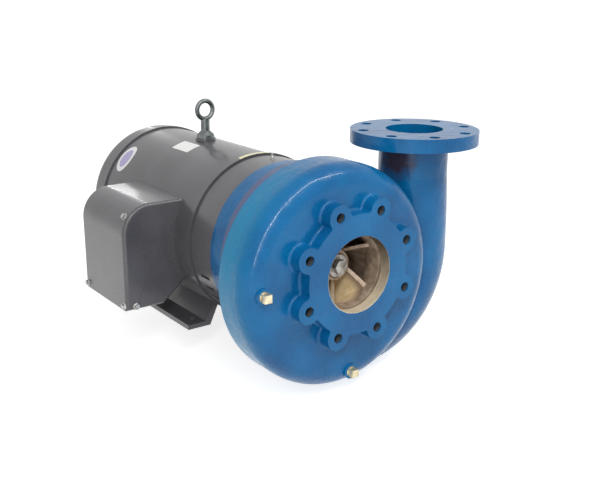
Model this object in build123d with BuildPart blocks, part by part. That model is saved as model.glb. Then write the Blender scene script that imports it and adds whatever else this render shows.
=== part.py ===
from build123d import *
import math
import os

os.makedirs("parts", exist_ok=True)

# Feet and shaft line
shaft_height = 158.75
foot_hole_across = 254.0
foot_hole_along = 209.55
foot_hole_diameter = 13.5
motor_face_to_foot_hole = 107.95

# Fits
seat_gap = 0.3
running_gap = 0.5
gasket_thickness = 1.0

# Suction end of the volute
pump_depth = 215.0
suction_bore_radius = 63.5
suction_hole_circle = 215.9
suction_hole_count = 8
suction_hole_radius = 8.35
suction_hole_depth = 28.0
suction_pad_radius = 101.0
suction_boss_radius = 21.0
suction_pad_height = 24.0
suction_pad_fillet = 5.0
suction_bore_length = 20.0

# Drum of the volute, as its crest is seen along the shaft
top_land = 13.05
left_land = 36.05
bottom_land = 41.05
side_point_z = -9.0
upper_right_swell = 10.0
casing_wall = 9.5
front_corner_radius = 34.0
front_to_crest_end = 81.0
back_taper_depth = 38.0
back_taper_angle = 38.0
collar_radius = 159.0
collar_end = 170.0
joint_radius = 149.0
joint_length = 6.0
impeller_opening_radius = 140.0

# Discharge pipe, which grows out of the drum and turns upward to its flange
discharge_x = 222.0
discharge_z = 197.5
discharge_y = 120.65
discharge_bore_radius = 50.8
discharge_neck_radius = 62.0
discharge_flange_radius = 114.3
discharge_flange_thickness = 23.8
discharge_flange_fillet = 10.0
discharge_hole_circle = 190.5
discharge_hole_count = 8
discharge_hole_radius = 9.5
neck_start_height = 118.0
spiral_bend_radius = 150.0
spiral_centre_z = -20.0
spiral_start_angle = -155.0
spiral_start_radius = 24.0
throat_radius = 66.0

# Impeller
impeller_radius = 127.0
impeller_eye_radius = 60.0
impeller_ring_radius = 67.0
impeller_ring_length = 14.0
shroud_thickness = 7.0
front_turn_radius = 50.0
passage_width = 27.0
vane_count = 5
vane_thickness = 6.0
vane_inlet_radius = 24.0
vane_sweep = 105.0
vane_bow_radius = 78.0
vane_bow_share = 0.45
vane_twist = 42.0
vane_phase = -40.0
vane_tip_setback = 1.0
vane_seat = 3.0
rim_lean = 5.0
hub_nose_length = 10.0
back_hub_radius = 32.0
back_hub_length = 4.0
back_gap = 6.0
hub_radius = 26.0
hub_start = 60.0
washer_radius = 21.0
washer_thickness = 5.0
screw_head_height = 9.0
screw_head_across = 22.0
screw_radius = 6.3
screw_length = 32.0

# Wear ring
wear_ring_wall = 8.0
wear_ring_length = 16.0
eye_gap = 3.0
suction_tube_wall = 9.0

# Shaft and sleeve
shaft_pump_radius = 15.9
shaft_bearing_radius = 22.5
shaft_core_radius = 28.0
shaft_rear_radius = 20.0
sleeve_wall = 5.0
sleeve_length = 72.0

# Adapter bracket between pump and motor
bracket_radius = 152.0
bracket_front_thickness = 14.0
bracket_band_length = 30.0
bracket_neck_radius = 148.0
bracket_wall = 13.0

# Motor
motor_radius = 148.0
spigot_radius = 107.95
spigot_length = 6.35
drive_shield_length = 62.0
shield_plate = 14.0
shield_wall = 11.0
shield_lip_length = 10.0
shield_gap = 5.0
barrel_wall = 6.0
barrel_length = 368.0
rear_shield_length = 50.0
rear_shield_corner = 24.0
rim_height = 3.0
rim_length = 12.0
front_bearing_radius = 42.5
front_bearing_width = 19.0
rear_bearing_radius = 40.0
rear_bearing_width = 18.0
bearing_seat_offset = 12.0
shaft_end_gap = 5.0
core_length = 190.0
core_inner_radius = 95.0
air_gap = 1.5
winding_length = 42.0
winding_inner_radius = 104.0
winding_outer_radius = 130.0
winding_rounding = 8.0
end_ring_length = 16.0
end_ring_radius = 84.0
fan_blade_count = 10
fan_blade_length = 20.0
fan_blade_height = 34.0
fan_blade_thickness = 4.0
louver_count = 5
louver_length = 30.0
louver_width = 6.0
louver_pitch_angle = 9.0
louver_start_angle = 198.0

# Feet
foot_inner_margin = 23.0
foot_side_reach = 2.0
foot_plate = 9.0
foot_overhang = 28.0
foot_web = 9.0
foot_lean = 22.0
saddle_height = 48.0

# Conduit box on the motor's side, split by a slanting plane into base and cover
box_start = 124.0
box_length = 174.0
box_outer_x = 248.0
box_top_z = 75.0
box_bottom_z = -116.0
box_top_radius = 54.0
box_sheet = 3.0
box_edge_radius = 6.0
box_floor_x = 172.0
box_saddle_z = -74.0
box_split_top_x = 137.0
box_split_top_z = 55.0
box_split_run = 85.0
box_split_drop = 166.0
conduit_entry_radius = 22.2
conduit_entry_x = 197.0

# Lifting eye
eye_y = 258.0
eye_pad_radius = 20.0
eye_pad_height = 4.0
eye_flare_radius = 17.0
eye_flare_height = 6.0
eye_cone_height = 8.0
eye_shank_radius = 8.5
eye_ring_height = 206.0
eye_ring_radius = 17.2
eye_wire_radius = 4.4

# Pipe plugs and grease fittings
plug_head_across = 13.0
plug_head_length = 12.0
plug_thread_radius = 8.5
plug_thread_length = 8.0
plug_boss_radius = 13.0
plug_boss_height = 3.0
plug_boss_depth = 20.0
side_plug_x = -170.0
side_plug_z = -8.0
drain_plug_x = 5.0
drain_plug_z = -178.0
grease_fitting_radius = 4.0
grease_fitting_height = 9.0
grease_fitting_y = 29.0

# Positions along the shaft, from the suction face at the front to the motor's rear
motor_face_y = -(foot_hole_along / 2 + motor_face_to_foot_hole)
suction_y = motor_face_y - pump_depth
front_wall_y = suction_y + suction_pad_height
crest_end_y = front_wall_y + front_to_crest_end
casing_back_y = suction_y + collar_end
bracket_front_y = casing_back_y + gasket_thickness
wear_ring_start_y = suction_y + suction_bore_length
ring_start_y = wear_ring_start_y + eye_gap
wear_ring_end_y = wear_ring_start_y + wear_ring_length
drive_shield_end_y = motor_face_y + drive_shield_length
barrel_start_y = drive_shield_end_y + shield_gap
barrel_end_y = barrel_start_y + barrel_length
motor_end_y = barrel_end_y + rear_shield_length
barrel_bore_radius = motor_radius - barrel_wall
core_start_y = barrel_start_y + (barrel_length - core_length) / 2
core_end_y = core_start_y + core_length
front_bearing_y = motor_face_y + bearing_seat_offset
rear_bearing_y = motor_end_y - shield_plate - shaft_end_gap - rear_bearing_width

shaft_axis = Axis((0, 0, shaft_height), (0, 1, 0))
shaft_profile = Plane(origin=(0, 0, shaft_height), x_dir=(0, 1, 0), z_dir=(1, 0, 0))


def cross_plane(y):
    """A plane across the shaft at y, seen from the suction side, with z up."""
    return Plane(origin=(0, y, shaft_height), x_dir=(1, 0, 0), z_dir=(0, -1, 0))


def level_plane(z):
    """A level plane at height z above the shaft."""
    return Plane.XY.offset(shaft_height + z)


def arc_point(x, z, radius, angle):
    """A point on a circle at an angle in degrees from +x."""
    turn = math.radians(angle)
    return (x + radius * math.cos(turn), z + radius * math.sin(turn))


# The drum reaches past the suction bosses by a flat land and its rounded front corner.
# Its outline is four arcs, each tangent to the next. Three radii follow from the reaches
# to the top, left and bottom, and the fourth closes the outline.
corner_reach = suction_hole_circle / 2 + suction_boss_radius + front_corner_radius
reach_top = corner_reach + top_land
reach_left = corner_reach + left_land
reach_bottom = corner_reach + bottom_land
upper_right_radius = (reach_top + reach_bottom) / 2 + upper_right_swell
upper_left_radius = reach_top - side_point_z
lower_left_radius = reach_bottom + side_point_z
top_x = upper_left_radius - reach_left
bottom_x = lower_left_radius - reach_left
upper_right_z = reach_top - upper_right_radius
drop = reach_top + reach_bottom - upper_right_radius
shift = bottom_x - top_x
lower_right_radius = (upper_right_radius**2 - drop**2 - shift**2) / (
    2 * (upper_right_radius - drop)
)
lower_right_z = lower_right_radius - reach_bottom
closing_angle = math.degrees(math.atan2(lower_right_z - upper_right_z, shift))


def drum_sketch(y, inset=0.0):
    """The drum's closed outline on a plane across the shaft, drawn in by an inset."""
    upper_left = (top_x, side_point_z, upper_left_radius)
    lower_left = (bottom_x, side_point_z, lower_left_radius)
    lower_right = (bottom_x, lower_right_z, lower_right_radius)
    upper_right = (top_x, upper_right_z, upper_right_radius)
    with BuildSketch(cross_plane(y)) as outline:
        with BuildLine():
            first_arc = ThreePointArc(
                arc_point(*upper_left, 90),
                arc_point(*upper_left, 135),
                arc_point(*upper_left, 180),
            )
            second_arc = ThreePointArc(
                first_arc @ 1,
                arc_point(*lower_left, -135),
                arc_point(*lower_left, -90),
            )
            third_arc = ThreePointArc(
                second_arc @ 1,
                arc_point(*lower_right, (closing_angle - 90) / 2),
                arc_point(*lower_right, closing_angle),
            )
            ThreePointArc(
                third_arc @ 1,
                arc_point(*upper_right, (closing_angle + 90) / 2),
                first_arc @ 0,
            )
        make_face()
        if inset:
            offset(amount=-inset, kind=Kind.INTERSECTION)
    return outline


# Volute casing: drum, suction pad with its bosses, spiral and discharge pipe
nozzle_y = suction_y + discharge_y
tube_radius = impeller_ring_radius + wear_ring_wall + suction_tube_wall
cavity_front_y = front_wall_y + casing_wall
flange_bottom_z = discharge_z - discharge_flange_thickness
plug_face_y = front_wall_y - plug_boss_height
half_suction_pitch = 180 / suction_hole_count
half_discharge_pitch = 180 / discharge_hole_count
plug_places = [(side_plug_x, side_plug_z), (drain_plug_x, drain_plug_z)]
spiral_centre_x = discharge_x - spiral_bend_radius
spiral = (spiral_centre_x, spiral_centre_z, spiral_bend_radius)

with BuildLine(cross_plane(nozzle_y)) as spiral_path:
    bend = ThreePointArc(
        arc_point(*spiral, spiral_start_angle),
        arc_point(*spiral, spiral_start_angle / 2),
        arc_point(*spiral, 0),
    )
    Line(bend @ 1, (discharge_x, neck_start_height))


def spiral_sections(start_radius, middle_radius, end_radius):
    """Round sections across the spiral's start, its throat and its neck."""
    path = spiral_path.wire()
    throat = bend.length / path.length
    sections = []
    for share, radius in ((0, start_radius), (throat, middle_radius), (1, end_radius)):
        with BuildSketch(Plane(origin=path @ share, z_dir=path % share)) as section:
            Circle(radius)
        sections.append(section.sketch)
    return sections


with BuildPart() as water_passage:
    inner_drum = drum_sketch(cavity_front_y, casing_wall)
    extrude(inner_drum.sketch, amount=-(crest_end_y - cavity_front_y))
    inner_rim = water_passage.edges().filter_by(GeomType.CIRCLE).group_by(Axis.Y)[0]
    fillet(inner_rim, front_corner_radius - casing_wall)
    inner_taper = drum_sketch(crest_end_y, casing_wall)
    extrude(
        inner_taper.sketch, amount=-(back_taper_depth - casing_wall), taper=back_taper_angle
    )
    with BuildSketch(cross_plane(crest_end_y)):
        Circle(impeller_opening_radius)
    extrude(amount=-(casing_back_y - crest_end_y))
    inner_sections = spiral_sections(
        spiral_start_radius - casing_wall, throat_radius - casing_wall, discharge_bore_radius
    )
    sweep(sections=inner_sections, path=spiral_path.wire(), multisection=True)
    with BuildSketch(level_plane(neck_start_height)):
        with Locations((discharge_x, nozzle_y)):
            Circle(discharge_bore_radius)
    extrude(amount=discharge_z - neck_start_height)

with BuildPart() as volute_casing:
    drum = drum_sketch(front_wall_y)
    extrude(drum.sketch, amount=-front_to_crest_end)
    front_rim = volute_casing.edges().filter_by(GeomType.CIRCLE).group_by(Axis.Y)[0]
    fillet(front_rim, front_corner_radius)
    taper_start = drum_sketch(crest_end_y)
    extrude(taper_start.sketch, amount=-back_taper_depth, taper=back_taper_angle)
    with BuildSketch(cross_plane(crest_end_y)):
        Circle(collar_radius)
    extrude(amount=-(casing_back_y - joint_length - crest_end_y))
    with BuildSketch(cross_plane(crest_end_y)):
        Circle(joint_radius)
    extrude(amount=-(casing_back_y - crest_end_y))
    outer_sections = spiral_sections(spiral_start_radius, throat_radius, discharge_neck_radius)
    sweep(sections=outer_sections, path=spiral_path.wire(), multisection=True)
    with BuildSketch(level_plane(neck_start_height)):
        with Locations((discharge_x, nozzle_y)):
            Circle(discharge_neck_radius)
    extrude(amount=flange_bottom_z - neck_start_height)
    with BuildSketch(level_plane(flange_bottom_z)):
        with Locations((discharge_x, nozzle_y)):
            Circle(discharge_flange_radius)
    extrude(amount=discharge_flange_thickness)
    neck_edge = (
        volute_casing.edges()
        .filter_by(GeomType.CIRCLE)
        .filter_by(lambda edge: abs(edge.radius - discharge_neck_radius) < seat_gap)
        .sort_by(Axis.Z)[-1]
    )
    fillet(neck_edge, discharge_flange_fillet)
    with BuildSketch(cross_plane(suction_y)) as pad:
        Circle(suction_pad_radius)
        with PolarLocations(suction_hole_circle / 2, suction_hole_count, half_suction_pitch):
            Circle(suction_boss_radius)
        fillet(pad.vertices(), suction_pad_fillet)
    extrude(amount=-suction_pad_height)
    pad_root = volute_casing.edges().filter_by(GeomType.CIRCLE).filter_by(
        lambda edge: abs(edge.center().Y - front_wall_y) < seat_gap
    )
    fillet(pad_root, suction_pad_fillet)
    with BuildSketch(cross_plane(plug_face_y)):
        with Locations(*plug_places):
            Circle(plug_boss_radius)
    extrude(amount=-plug_boss_depth)
    add(water_passage.part, mode=Mode.SUBTRACT)
    # The suction tube runs in to the wear ring
    with BuildSketch(cross_plane(front_wall_y)):
        Circle(tube_radius)
    extrude(amount=-(wear_ring_end_y - front_wall_y))
    with BuildSketch(cross_plane(suction_y)):
        Circle(suction_bore_radius)
    extrude(amount=-(wear_ring_end_y - suction_y), mode=Mode.SUBTRACT)
    with BuildSketch(cross_plane(wear_ring_start_y)):
        Circle(impeller_ring_radius + wear_ring_wall)
    extrude(amount=-wear_ring_length, mode=Mode.SUBTRACT)
    # Bolt holes
    with BuildSketch(cross_plane(suction_y)):
        with PolarLocations(suction_hole_circle / 2, suction_hole_count, half_suction_pitch):
            Circle(suction_hole_radius)
    extrude(amount=-suction_hole_depth, mode=Mode.SUBTRACT)
    with BuildSketch(level_plane(flange_bottom_z)):
        with Locations((discharge_x, nozzle_y)):
            with PolarLocations(discharge_hole_circle / 2, discharge_hole_count, half_discharge_pitch):
                Circle(discharge_hole_radius)
    extrude(amount=discharge_flange_thickness, mode=Mode.SUBTRACT)
    # Threads for the two pipe plugs
    with BuildSketch(cross_plane(plug_face_y)):
        with Locations(*plug_places):
            Circle(plug_thread_radius)
    extrude(amount=-plug_thread_length, mode=Mode.SUBTRACT)

volute_casing.part.label = "volute_casing"
export_step(volute_casing.part, "parts/volute_casing.step")

# Wear ring
with BuildPart() as wear_ring:
    with BuildSketch(cross_plane(wear_ring_start_y)):
        Circle(impeller_ring_radius + wear_ring_wall)
        Circle(impeller_ring_radius + running_gap, mode=Mode.SUBTRACT)
    extrude(amount=-wear_ring_length)

wear_ring.part.label = "wear_ring"
export_step(wear_ring.part, "parts/wear_ring.step")

# Impeller: two shrouds and a hub turned about the shaft, with curved vanes between
turn_y = ring_start_y + impeller_ring_length
turn_radius = impeller_eye_radius + front_turn_radius
front_rim_y = turn_y + front_turn_radius + rim_lean
back_rim_y = front_rim_y + passage_width
back_face_y = back_rim_y + shroud_thickness
hub_end_y = back_face_y + back_hub_length
hub_start_y = suction_y + hub_start
hub_turn_radius = back_rim_y - rim_lean - hub_start_y - hub_nose_length


def vane_sketch(y, turn):
    """One vane's curved section on a plane across the shaft, turned about it."""
    with BuildSketch(cross_plane(y)) as section:
        with BuildLine():
            ThreePointArc(
                arc_point(0, 0, vane_inlet_radius, turn),
                arc_point(0, 0, vane_bow_radius, turn - vane_sweep * vane_bow_share),
                arc_point(0, 0, impeller_radius - vane_tip_setback, turn - vane_sweep),
            )
        trace(line_width=vane_thickness)
    return section.sketch


with BuildPart() as vanes:
    for count in range(vane_count):
        turn = vane_phase + count * 360 / vane_count
        loft([vane_sketch(back_face_y, turn), vane_sketch(ring_start_y, turn + vane_twist)])
    with BuildSketch(shaft_profile):
        with BuildLine():
            front_turn = RadiusArc(
                (turn_y, impeller_eye_radius + vane_seat),
                (turn_y + front_turn_radius - vane_seat, turn_radius),
                vane_seat - front_turn_radius,
            )
            Polyline(
                front_turn @ 1,
                (front_rim_y - vane_seat, impeller_radius),
                (back_rim_y + vane_seat, impeller_radius),
                (back_rim_y - rim_lean + vane_seat, hub_radius + hub_turn_radius),
            )
            hub_turn = RadiusArc(
                (back_rim_y - rim_lean + vane_seat, hub_radius + hub_turn_radius),
                (back_rim_y - rim_lean - hub_turn_radius, hub_radius - vane_seat),
                hub_turn_radius + vane_seat,
            )
            Line(hub_turn @ 1, front_turn @ 0)
        make_face()
    revolve(axis=shaft_axis, mode=Mode.INTERSECT)

with BuildPart() as impeller:
    with BuildSketch(shaft_profile):
        with BuildLine():
            eye_line = Line(
                (ring_start_y, impeller_eye_radius), (turn_y, impeller_eye_radius)
            )
            inner_turn = RadiusArc(
                eye_line @ 1, (turn_y + front_turn_radius, turn_radius), -front_turn_radius
            )
            inner_rim = Line(inner_turn @ 1, (front_rim_y, impeller_radius))
            rim = Line(inner_rim @ 1, (front_rim_y - shroud_thickness, impeller_radius))
            outer_rim = Line(
                rim @ 1, (turn_y + front_turn_radius - shroud_thickness, turn_radius)
            )
            outer_turn = RadiusArc(
                outer_rim @ 1,
                (turn_y, impeller_eye_radius + shroud_thickness),
                front_turn_radius - shroud_thickness,
            )
            Polyline(
                outer_turn @ 1, (ring_start_y, impeller_ring_radius), eye_line @ 0
            )
        make_face()
    revolve(axis=shaft_axis)
    with BuildSketch(shaft_profile):
        with BuildLine():
            nose = Line((hub_start_y, shaft_pump_radius), (hub_start_y, hub_radius))
            hub_line = Line(nose @ 1, (hub_start_y + hub_nose_length, hub_radius))
            hub_turn = RadiusArc(
                hub_line @ 1,
                (back_rim_y - rim_lean, hub_radius + hub_turn_radius),
                -hub_turn_radius,
            )
            back_rim = Line(hub_turn @ 1, (back_rim_y, impeller_radius))
            Polyline(
                back_rim @ 1,
                (back_face_y, impeller_radius),
                (back_face_y, back_hub_radius),
                (hub_end_y, back_hub_radius),
                (hub_end_y, shaft_pump_radius),
                nose @ 0,
            )
        make_face()
    revolve(axis=shaft_axis)
    add(vanes.part)

impeller.part.label = "impeller"
export_step(impeller.part, "parts/impeller.step")

# Washer and cap screw that hold the impeller on the shaft
washer_y = hub_start_y - washer_thickness
screw_head_y = washer_y - screw_head_height

with BuildPart() as impeller_washer:
    with BuildSketch(cross_plane(washer_y)):
        Circle(washer_radius)
        Circle(screw_radius, mode=Mode.SUBTRACT)
    extrude(amount=-washer_thickness)
    rim_edge = impeller_washer.edges().group_by(Axis.Y)[0].sort_by(SortBy.RADIUS)[-1]
    chamfer(rim_edge, washer_thickness / 3)

impeller_washer.part.label = "impeller_washer"
export_step(impeller_washer.part, "parts/impeller_washer.step")

with BuildPart() as impeller_screw:
    with BuildSketch(cross_plane(screw_head_y)):
        RegularPolygon(screw_head_across / 2, 6, major_radius=False)
    extrude(amount=-screw_head_height)
    with BuildSketch(cross_plane(washer_y)):
        Circle(screw_radius)
    extrude(amount=-screw_length)

impeller_screw.part.label = "impeller_screw"
export_step(impeller_screw.part, "parts/impeller_screw.step")

# Shaft, stepped from the impeller through the motor to the rear bearing
shaft_start_y = hub_start_y
screw_end_y = washer_y + screw_length
shaft_end_y = rear_bearing_y + rear_bearing_width

with BuildPart() as shaft:
    with BuildSketch(shaft_profile):
        Polygon(
            (screw_end_y, 0),
            (screw_end_y, screw_radius),
            (shaft_start_y, screw_radius),
            (shaft_start_y, shaft_pump_radius),
            (front_bearing_y, shaft_pump_radius),
            (front_bearing_y, shaft_bearing_radius),
            (front_bearing_y + front_bearing_width, shaft_bearing_radius),
            (front_bearing_y + front_bearing_width, shaft_core_radius),
            (rear_bearing_y, shaft_core_radius),
            (rear_bearing_y, shaft_rear_radius),
            (shaft_end_y, shaft_rear_radius),
            (shaft_end_y, 0),
            align=None,
        )
    revolve(axis=shaft_axis)

shaft.part.label = "shaft"
export_step(shaft.part, "parts/shaft.step")

with BuildPart() as shaft_sleeve:
    with BuildSketch(cross_plane(hub_end_y)):
        Circle(shaft_pump_radius + sleeve_wall)
        Circle(shaft_pump_radius, mode=Mode.SUBTRACT)
    extrude(amount=-sleeve_length)

shaft_sleeve.part.label = "shaft_sleeve"
export_step(shaft_sleeve.part, "parts/shaft_sleeve.step")

# Gasket between the volute and the bracket
with BuildPart() as casing_gasket:
    with BuildSketch(cross_plane(casing_back_y)):
        Circle(bracket_radius)
        Circle(impeller_opening_radius, mode=Mode.SUBTRACT)
    extrude(amount=-gasket_thickness)

casing_gasket.part.label = "casing_gasket"
export_step(casing_gasket.part, "parts/casing_gasket.step")

# Bracket: back wall of the pump and front flange of the motor in one casting
bracket_wall_y = back_face_y + back_gap
bracket_bore_radius = shaft_pump_radius + sleeve_wall + running_gap
bracket_band_end_y = bracket_front_y + bracket_band_length
register_radius = impeller_opening_radius - seat_gap
spigot_y = motor_face_y - spigot_length

with BuildPart() as bracket:
    with BuildSketch(shaft_profile):
        Polygon(
            (bracket_wall_y, bracket_bore_radius),
            (bracket_wall_y, register_radius),
            (bracket_front_y, register_radius),
            (bracket_front_y, bracket_radius),
            (bracket_band_end_y, bracket_radius),
            (bracket_band_end_y + bracket_radius - bracket_neck_radius, bracket_neck_radius),
            (motor_face_y, bracket_neck_radius),
            (motor_face_y, spigot_radius),
            (spigot_y - seat_gap, spigot_radius),
            (spigot_y - seat_gap, spigot_radius - bracket_wall),
            (bracket_wall_y + bracket_front_thickness, spigot_radius - bracket_wall),
            (bracket_wall_y + bracket_front_thickness, bracket_bore_radius),
            align=None,
        )
    revolve(axis=shaft_axis)

bracket.part.label = "bracket"
export_step(bracket.part, "parts/bracket.step")

# Drive-end shield of the motor: mounting face, spigot, bearing seat and louvred ring
louver_y = motor_face_y + drive_shield_length / 2
front_seat_y = front_bearing_y + front_bearing_width

with BuildPart() as drive_end_shield:
    with BuildSketch(shaft_profile):
        Polygon(
            (spigot_y, spigot_radius - shield_wall),
            (spigot_y, spigot_radius),
            (motor_face_y, spigot_radius),
            (motor_face_y, motor_radius),
            (drive_shield_end_y, motor_radius),
            (drive_shield_end_y, barrel_bore_radius),
            (barrel_start_y + shield_lip_length, barrel_bore_radius),
            (barrel_start_y + shield_lip_length, barrel_bore_radius - shield_wall),
            (motor_face_y + shield_plate, barrel_bore_radius - shield_wall),
            (motor_face_y + shield_plate, front_bearing_radius + shield_wall),
            (front_seat_y, front_bearing_radius + shield_wall),
            (front_seat_y, front_bearing_radius),
            (front_bearing_y, front_bearing_radius),
            (front_bearing_y, shaft_bearing_radius + shield_wall),
            (motor_face_y, shaft_bearing_radius + shield_wall),
            (motor_face_y, spigot_radius - shield_wall),
            align=None,
        )
    revolve(axis=shaft_axis)
    for side in (0, 1):
        for row in range(louver_count):
            angle = louver_start_angle + row * louver_pitch_angle
            turned = 180 - angle if side else angle
            outward = Vector(
                math.cos(math.radians(turned)), 0, math.sin(math.radians(turned))
            )
            slot_plane = Plane(
                origin=(0, louver_y, shaft_height), x_dir=(0, 1, 0), z_dir=tuple(outward)
            )
            with BuildSketch(slot_plane.offset(front_bearing_radius + 2 * shield_wall)):
                SlotOverall(louver_length, louver_width)
            extrude(amount=motor_radius, mode=Mode.SUBTRACT)

drive_end_shield.part.label = "drive_end_shield"
export_step(drive_end_shield.part, "parts/drive_end_shield.step")

# Motor barrel: a rolled steel shell with a raised rim at each end
with BuildPart() as motor_frame:
    with BuildSketch(cross_plane(barrel_start_y)):
        Circle(motor_radius)
        Circle(barrel_bore_radius, mode=Mode.SUBTRACT)
    extrude(amount=-barrel_length)
    with BuildSketch(cross_plane(barrel_start_y), cross_plane(barrel_end_y - rim_length)):
        Circle(motor_radius + rim_height)
        Circle(barrel_bore_radius, mode=Mode.SUBTRACT)
    extrude(amount=-rim_length)

motor_frame.part.label = "motor_frame"
export_step(motor_frame.part, "parts/motor_frame.step")

# Stator core and its end windings
with BuildPart() as stator_core:
    with BuildSketch(cross_plane(core_start_y)):
        Circle(barrel_bore_radius)
        Circle(core_inner_radius, mode=Mode.SUBTRACT)
    extrude(amount=-core_length)

stator_core.part.label = "stator_core"
export_step(stator_core.part, "parts/stator_core.step")

with BuildPart() as stator_windings:
    with BuildSketch(cross_plane(core_start_y - winding_length), cross_plane(core_end_y)):
        Circle(winding_outer_radius)
        Circle(winding_inner_radius, mode=Mode.SUBTRACT)
    extrude(amount=-winding_length)
    fillet(stator_windings.edges(), winding_rounding)

stator_windings.part.label = "stator_windings"
export_step(stator_windings.part, "parts/stator_windings.step")

# Rotor core, end rings and fan blades
rotor_radius = core_inner_radius - air_gap
ring_seats = (core_start_y - end_ring_length, core_end_y)
blade_seats = (core_start_y - end_ring_length - fan_blade_length, core_end_y + end_ring_length)

with BuildPart() as rotor_core:
    with BuildSketch(cross_plane(core_start_y)):
        Circle(rotor_radius)
    extrude(amount=-core_length)
    with BuildSketch(*[cross_plane(y) for y in ring_seats]):
        Circle(end_ring_radius)
    extrude(amount=-end_ring_length)
    with BuildSketch(*[cross_plane(y) for y in blade_seats]):
        with PolarLocations(end_ring_radius - fan_blade_height / 2, fan_blade_count):
            Rectangle(fan_blade_height, fan_blade_thickness)
    extrude(amount=-fan_blade_length)
    with BuildSketch(cross_plane(core_start_y - end_ring_length - fan_blade_length)):
        Circle(shaft_core_radius)
    extrude(amount=-(core_length + 2 * end_ring_length + 2 * fan_blade_length), mode=Mode.SUBTRACT)

rotor_core.part.label = "rotor_core"
export_step(rotor_core.part, "parts/rotor_core.step")

# Ball bearings
with BuildPart() as front_bearing:
    with BuildSketch(cross_plane(front_bearing_y)):
        Circle(front_bearing_radius)
        Circle(shaft_bearing_radius + seat_gap, mode=Mode.SUBTRACT)
    extrude(amount=-front_bearing_width)

front_bearing.part.label = "front_bearing"
export_step(front_bearing.part, "parts/front_bearing.step")

with BuildPart() as rear_bearing:
    with BuildSketch(cross_plane(rear_bearing_y)):
        Circle(rear_bearing_radius)
        Circle(shaft_rear_radius + seat_gap, mode=Mode.SUBTRACT)
    extrude(amount=-rear_bearing_width)

rear_bearing.part.label = "rear_bearing"
export_step(rear_bearing.part, "parts/rear_bearing.step")

# Rear end shield with a rounded rim
with BuildPart() as rear_end_shield:
    with BuildSketch(shaft_profile):
        Polygon(
            (barrel_end_y - shield_lip_length, barrel_bore_radius - shield_wall),
            (barrel_end_y - shield_lip_length, barrel_bore_radius),
            (barrel_end_y, barrel_bore_radius),
            (barrel_end_y, motor_radius),
            (motor_end_y, motor_radius),
            (motor_end_y, 0),
            (shaft_end_y + shaft_end_gap, 0),
            (shaft_end_y + shaft_end_gap, rear_bearing_radius),
            (rear_bearing_y, rear_bearing_radius),
            (rear_bearing_y, rear_bearing_radius + shield_wall),
            (motor_end_y - shield_plate, rear_bearing_radius + shield_wall),
            (motor_end_y - shield_plate, barrel_bore_radius - shield_wall),
            align=None,
        )
    revolve(axis=shaft_axis)
    rear_rim = rear_end_shield.edges().filter_by(GeomType.CIRCLE).group_by(Axis.Y)[-1]
    fillet(rear_rim, rear_shield_corner)

rear_end_shield.part.label = "rear_end_shield"
export_step(rear_end_shield.part, "parts/rear_end_shield.step")

# Feet: a plate, a web and a saddle on each side, in one welded base
foot_outer_x = motor_radius + foot_side_reach
foot_inner_x = foot_hole_across / 2 - foot_inner_margin
base_length = foot_hole_along + 2 * foot_overhang

with BuildPart() as motor_feet:
    for side in (-1, 1):
        with BuildSketch(Plane.XZ.offset(base_length / 2)):
            Polygon(
                (side * foot_outer_x, 0),
                (side * foot_outer_x, foot_plate),
                (side * (foot_inner_x + foot_web), foot_plate),
                (side * (foot_inner_x + foot_web - foot_lean), saddle_height),
                (side * (foot_inner_x - foot_lean), saddle_height),
                (side * foot_inner_x, 0),
                align=None,
            )
        extrude(amount=-base_length)
    with BuildSketch(cross_plane(-base_length / 2)):
        Circle(motor_radius)
    extrude(amount=-base_length, mode=Mode.SUBTRACT)
    with BuildSketch(Plane.XY):
        with GridLocations(foot_hole_across, foot_hole_along, 2, 2):
            Circle(foot_hole_diameter / 2)
    extrude(amount=foot_plate, mode=Mode.SUBTRACT)

motor_feet.part.label = "motor_feet"
export_step(motor_feet.part, "parts/motor_feet.step")

# Conduit box: a hollow shell on the barrel's side, cut along a slanting plane
box_front_y = motor_face_y + box_start
box_middle_y = box_front_y + box_length / 2
box_back_x = -math.sqrt(motor_radius**2 - box_top_z**2) + box_sheet


def box_outline(y, inset):
    """The box as seen along the shaft, with its sides running on into the barrel."""
    outer_x = inset - box_outer_x
    top_z = box_top_z - inset
    with BuildSketch(cross_plane(y)) as outline:
        with BuildLine():
            side = Line((outer_x, box_bottom_z + inset), (outer_x, box_top_z - box_top_radius))
            corner = RadiusArc(
                side @ 1, (box_top_radius - box_outer_x, top_z), box_top_radius - inset
            )
            Polyline(
                corner @ 1,
                (box_back_x + inset, top_z),
                (box_back_x + inset, box_saddle_z + inset),
                (-box_floor_x - inset / 2, box_bottom_z + inset),
                side @ 0,
            )
        make_face()
    return outline


split_plane = Plane(
    origin=(-box_split_top_x, 0, shaft_height + box_split_top_z),
    x_dir=(0, 1, 0),
    z_dir=(-box_split_drop, 0, box_split_run),
)

with BuildPart() as box_hollow:
    box_inside = box_outline(box_front_y + box_sheet, box_sheet)
    extrude(box_inside.sketch, amount=-(box_length - 2 * box_sheet))
    with BuildSketch(cross_plane(box_front_y)):
        Circle(motor_radius + box_sheet)
    extrude(amount=-box_length, mode=Mode.SUBTRACT)

with BuildPart() as box_shell:
    box_outside = box_outline(box_front_y, 0)
    extrude(box_outside.sketch, amount=-box_length)
    end_edges = box_shell.edges().group_by(Axis.Y)
    fillet(end_edges[0] + end_edges[-1], box_edge_radius)
    with BuildSketch(cross_plane(box_front_y)):
        Circle(motor_radius)
    extrude(amount=-box_length, mode=Mode.SUBTRACT)
    add(box_hollow.part, mode=Mode.SUBTRACT)

with BuildPart() as conduit_box_cover:
    add(box_shell.part)
    split(bisect_by=split_plane, keep=Keep.TOP)

conduit_box_cover.part.label = "conduit_box_cover"
export_step(conduit_box_cover.part, "parts/conduit_box_cover.step")

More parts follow.
